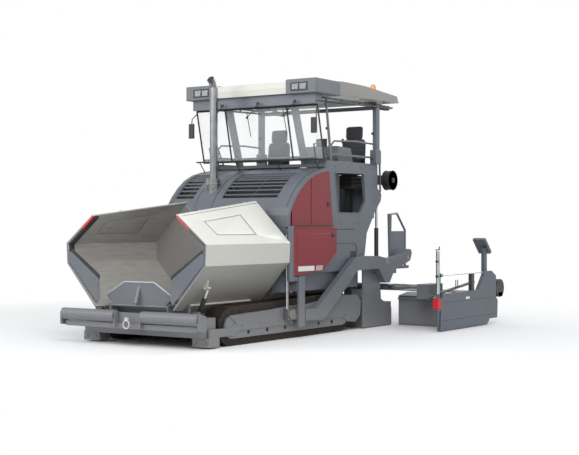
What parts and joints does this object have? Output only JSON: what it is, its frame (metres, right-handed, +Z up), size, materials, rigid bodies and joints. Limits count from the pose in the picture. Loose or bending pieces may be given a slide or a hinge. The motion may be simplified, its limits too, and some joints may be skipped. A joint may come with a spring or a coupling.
{
  "type": "tracked asphalt paver with extending screed",
  "caption": "Crawler road paver: folding hopper, operator platform under a canopy, augers, and a towed screed with sliding extensions.",
  "frame": {"origin": "on the ground below the middle of the overall length and width", "axes": "+Y towards the rear (screed), +X towards the machine's left side, +Z up; the machine drives towards -Y"},
  "size_m": [5, 7.04, 4.0303],
  "materials": {
    "paint": "satin grey-blue paint",
    "cream": "satin off-white paint",
    "red": "gloss dark red paint",
    "track": "worn brown-black steel shoes",
    "rubber": "matt black",
    "chrome": "polished",
    "steel": "dull worn steel",
    "glass": "clear",
    "seat": "dark grey cloth"
  },
  "bodies": {
    "tractor": {"main_frame": "paint", "hopper_floor": "steel", "engine_block": "steel", "track_left": "track", "track_right": "track", "track_frame_left": "paint", "track_frame_right": "paint", "engine_hood": "paint", "upper_panel_left": "red", "upper_panel_right": "red", "side_frame_left": "paint", "side_frame_right": "paint", "operator_deck": "paint", "canopy_roof": "cream", "front_posts": "paint", "rear_posts": "paint", "windscreen": "glass", "side_screen_left": "paint", "side_screen_right": "paint", "control_console": "paint", "seat_left": "seat", "seat_right": "seat", "exhaust_stack": "chrome", "hose_reel": "rubber", "tow_rail_left": "paint", "tow_rail_right": "paint"},
    "push_beam": {"push_beam": "paint"},
    "push_roller_left": {"push_roller_left": "paint"},
    "push_roller_right": {"push_roller_right": "paint"},
    "front_apron": {"front_apron": "paint"},
    "hopper_wing_left": {"hopper_wing_left": "cream"},
    "hopper_wing_right": {"hopper_wing_right": "cream"},
    "wing_barrel_left": {"wing_barrel_left": "rubber"},
    "wing_barrel_right": {"wing_barrel_right": "rubber"},
    "wing_rod_left": {"wing_rod_left": "chrome"},
    "wing_rod_right": {"wing_rod_right": "chrome"},
    "side_door_left": {"side_door_left": "red"},
    "side_door_right": {"side_door_right": "red"},
    "tow_point_left": {"tow_point_left": "steel"},
    "tow_point_right": {"tow_point_right": "steel"},
    "screed": {"screed_base": "paint", "tow_arm_left": "paint", "tow_arm_right": "paint"},
    "screed_extension_left": {"screed_extension_left": "paint", "end_gate_left": "paint"},
    "screed_extension_right": {"screed_extension_right": "paint", "end_gate_right": "paint"},
    "lift_barrel_left": {"lift_barrel_left": "rubber"},
    "lift_barrel_right": {"lift_barrel_right": "rubber"},
    "lift_rod_left": {"lift_rod_left": "chrome"},
    "lift_rod_right": {"lift_rod_right": "chrome"},
    "auger_left": {"auger_left": "steel"},
    "auger_right": {"auger_right": "steel"}
  },
  "joints": [
    {"name": "push_beam_swing", "type": "hinge", "parent": "tractor", "child": "push_beam", "pos_m": [0, -3.235, 0.335], "axis": [0, 0, 1], "range_deg": [-4, 4]},
    {"name": "push_roller_left_spin", "type": "hinge", "parent": "push_beam", "child": "push_roller_left", "pos_m": [0.745, -3.435, 0.42], "axis": [1, 0, 0], "continuous": true},
    {"name": "push_roller_right_spin", "type": "hinge", "parent": "push_beam", "child": "push_roller_right", "pos_m": [-0.745, -3.435, 0.42], "axis": [1, 0, 0], "continuous": true},
    {"name": "front_apron_fold", "type": "hinge", "parent": "tractor", "child": "front_apron", "pos_m": [0, -3.23, 0.557], "axis": [1, 0, 0], "range_deg": [0, 55]},
    {"name": "hopper_wing_left_fold", "type": "hinge", "parent": "tractor", "child": "hopper_wing_left", "pos_m": [0.805, -2.3, 0.585], "axis": [0, 1, 0], "range_deg": [0, 40]},
    {"name": "hopper_wing_right_fold", "type": "hinge", "parent": "tractor", "child": "hopper_wing_right", "pos_m": [-0.805, -2.3, 0.585], "axis": [0, -1, 0], "range_deg": [0, 40]},
    {"name": "wing_barrel_left_swing", "type": "hinge", "parent": "tractor", "child": "wing_barrel_left", "pos_m": [0.9, -3.018, 0.47], "axis": [0, 1, 0], "range_deg": [0, 38.2]},
    {"name": "wing_barrel_right_swing", "type": "hinge", "parent": "tractor", "child": "wing_barrel_right", "pos_m": [-0.9, -3.018, 0.47], "axis": [0, -1, 0], "range_deg": [0, 38.2]},
    {"name": "wing_rod_left_stroke", "type": "slide", "parent": "wing_barrel_left", "child": "wing_rod_left", "axis": [0.4061, 0, 0.9138], "range_m": [-0.1022, 0]},
    {"name": "wing_rod_right_stroke", "type": "slide", "parent": "wing_barrel_right", "child": "wing_rod_right", "axis": [-0.4061, 0, 0.9138], "range_m": [-0.1022, 0]},
    {"name": "side_door_left_swing", "type": "hinge", "parent": "tractor", "child": "side_door_left", "pos_m": [1.25, -1.212, 1.3], "axis": [0, 0, -1], "range_deg": [0, 100]},
    {"name": "side_door_right_swing", "type": "hinge", "parent": "tractor", "child": "side_door_right", "pos_m": [-1.25, -1.212, 1.3], "axis": [0, 0, 1], "range_deg": [0, 100]},
    {"name": "tow_point_left_slide", "type": "slide", "parent": "tractor", "child": "tow_point_left", "axis": [0, 0, 1], "range_m": [0, 0.2]},
    {"name": "tow_point_right_slide", "type": "slide", "parent": "tractor", "child": "tow_point_right", "axis": [0, 0, 1], "range_m": [0, 0.2]},
    {"name": "screed_lift", "type": "hinge", "parent": "tow_point_left", "child": "screed", "pos_m": [1.2, -1.01, 0.35], "axis": [1, 0, 0], "range_deg": [0, 8]},
    {"name": "screed_extension_left_slide", "type": "slide", "parent": "screed", "child": "screed_extension_left", "axis": [-1, 0, 0], "range_m": [0, 1.15]},
    {"name": "screed_extension_right_slide", "type": "slide", "parent": "screed", "child": "screed_extension_right", "axis": [1, 0, 0], "range_m": [0, 1.15]},
    {"name": "lift_barrel_left_swing", "type": "hinge", "parent": "screed", "child": "lift_barrel_left", "pos_m": [1.05, 1.58, 1.08], "axis": [1, 0, 0], "range_deg": [-19.3, 0]},
    {"name": "lift_barrel_right_swing", "type": "hinge", "parent": "screed", "child": "lift_barrel_right", "pos_m": [-1.05, 1.58, 1.08], "axis": [1, 0, 0], "range_deg": [-19.3, 0]},
    {"name": "lift_rod_left_stroke", "type": "slide", "parent": "lift_barrel_left", "child": "lift_rod_left", "axis": [0, 0, 1], "range_m": [-0.3434, 0]},
    {"name": "lift_rod_right_stroke", "type": "slide", "parent": "lift_barrel_right", "child": "lift_rod_right", "axis": [0, 0, 1], "range_m": [-0.3434, 0]},
    {"name": "auger_left_spin", "type": "hinge", "parent": "tractor", "child": "auger_left", "pos_m": [0.6, 0.835, 0.36], "axis": [1, 0, 0], "continuous": true},
    {"name": "auger_right_spin", "type": "hinge", "parent": "tractor", "child": "auger_right", "pos_m": [-0.6, 0.835, 0.36], "axis": [1, 0, 0], "continuous": true}
  ],
  "couplings": [
    {"joint": "wing_barrel_left_swing", "follows": "hopper_wing_left_fold", "ratio": 0.94367},
    {"joint": "wing_rod_left_stroke", "follows": "hopper_wing_left_fold", "m_per_rad": -0.1449},
    {"joint": "lift_barrel_left_swing", "follows": "screed_lift", "ratio": -2.3462},
    {"joint": "lift_rod_left_stroke", "follows": "screed_lift", "m_per_rad": -2.4451},
    {"joint": "wing_barrel_right_swing", "follows": "hopper_wing_right_fold", "ratio": 0.94367},
    {"joint": "wing_rod_right_stroke", "follows": "hopper_wing_right_fold", "m_per_rad": -0.1449},
    {"joint": "lift_barrel_right_swing", "follows": "screed_lift", "ratio": -2.3462},
    {"joint": "lift_rod_right_stroke", "follows": "screed_lift", "m_per_rad": -2.4451},
    {"joint": "tow_point_right_slide", "follows": "tow_point_left_slide", "ratio": 1}
  ]
}
